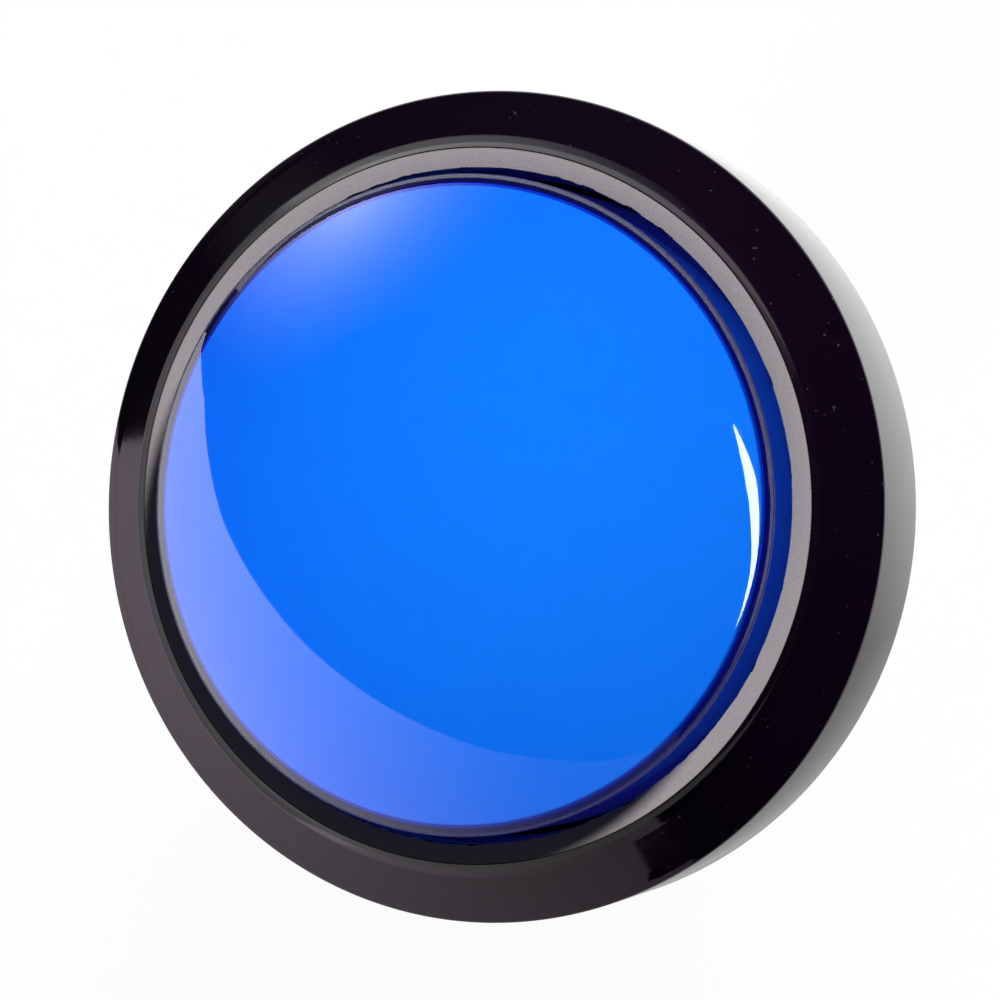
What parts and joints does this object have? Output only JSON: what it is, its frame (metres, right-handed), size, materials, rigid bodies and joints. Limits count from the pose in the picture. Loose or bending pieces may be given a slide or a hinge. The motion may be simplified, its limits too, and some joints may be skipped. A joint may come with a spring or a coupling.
{
  "type": "quiz buzzer button",
  "caption": "Large round dome push button with a lit lens, a black flange, a threaded panel barrel, a lamp holder and a snap-action switch; pressed to answer in a quiz.",
  "frame": {"origin": "centre of the panel's mounting hole, on the panel's front face, where the flange rests", "axes": "+Z along the push axis, out of the panel towards the person who presses; +X towards the leg that works the switch"},
  "size_m": [0.1, 0.1, 0.0975],
  "materials": {
    "bezel_black": "high-gloss moulded black ABS with fine dust and hairline scratches",
    "gasket_rubber": "matte black foam rubber",
    "nut_black": "satin black nylon",
    "lens_blue": "polished translucent blue",
    "diffuser_white": "milky white, light scattering",
    "plunger_white": "white ABS",
    "spring_steel": "drawn spring wire",
    "holder_cream": "unpainted nylon",
    "contact_brass": "stamped strip, slightly tarnished",
    "lamp_base_white": "moulded",
    "lead_tin": "tinned wire",
    "led_clear": "clear epoxy",
    "switch_black": "moulded thermoset, slightly textured",
    "lever_steel": "stamped stainless strip",
    "pin_red": "moulded",
    "blade_copper": "beryllium copper leaf with silver contact",
    "terminal_brass": "stamped tab, slightly tarnished"
  },
  "bodies": {
    "housing": {"bezel": "bezel_black", "panel_gasket": "gasket_rubber", "panel_nut": "nut_black", "return_spring": "spring_steel", "lamp_holder": "holder_cream", "lamp_contact_front": "contact_brass", "lamp_contact_back": "contact_brass", "lamp_base": "lamp_base_white", "led_lead_front": "lead_tin", "led_lead_back": "lead_tin", "led": "led_clear", "switch_case": "switch_black", "switch_cover": "switch_black", "common_terminal": "terminal_brass", "open_terminal": "terminal_brass", "closed_terminal": "terminal_brass"},
    "button": {"lens": "lens_blue", "diffuser": "diffuser_white", "plunger": "plunger_white"},
    "lever": {"switch_lever": "lever_steel"},
    "pin": {"switch_pin": "pin_red"},
    "blade": {"switch_blade": "blade_copper"}
  },
  "joints": [
    {"name": "button_press", "type": "slide", "parent": "housing", "child": "button", "axis": [0, 0, -1], "range_m": [0, 0.004], "stiffness_N_per_m": 450, "springref_m": -0.004, "deforming": ["return_spring"]},
    {"name": "lever_tilt", "type": "hinge", "parent": "housing", "child": "lever", "pos_m": [-0.0105, 0, -0.0392], "axis": [0, 1, 0], "range_deg": [0, 12.9]},
    {"name": "pin_travel", "type": "slide", "parent": "housing", "child": "pin", "axis": [0, 0, -1], "range_m": [0, 0.001]},
    {"name": "blade_snap", "type": "hinge", "parent": "housing", "child": "blade", "pos_m": [-0.0065, 0, -0.0446], "axis": [0, 1, 0], "range_deg": [0, 3.2]}
  ],
  "couplings": [
    {"joint": "lever_tilt", "follows": "button_press", "rad_per_m": 55.87},
    {"joint": "pin_travel", "follows": "button_press", "ratio": 0.25},
    {"joint": "blade_snap", "follows": "button_press", "rad_per_m": 13.79}
  ]
}
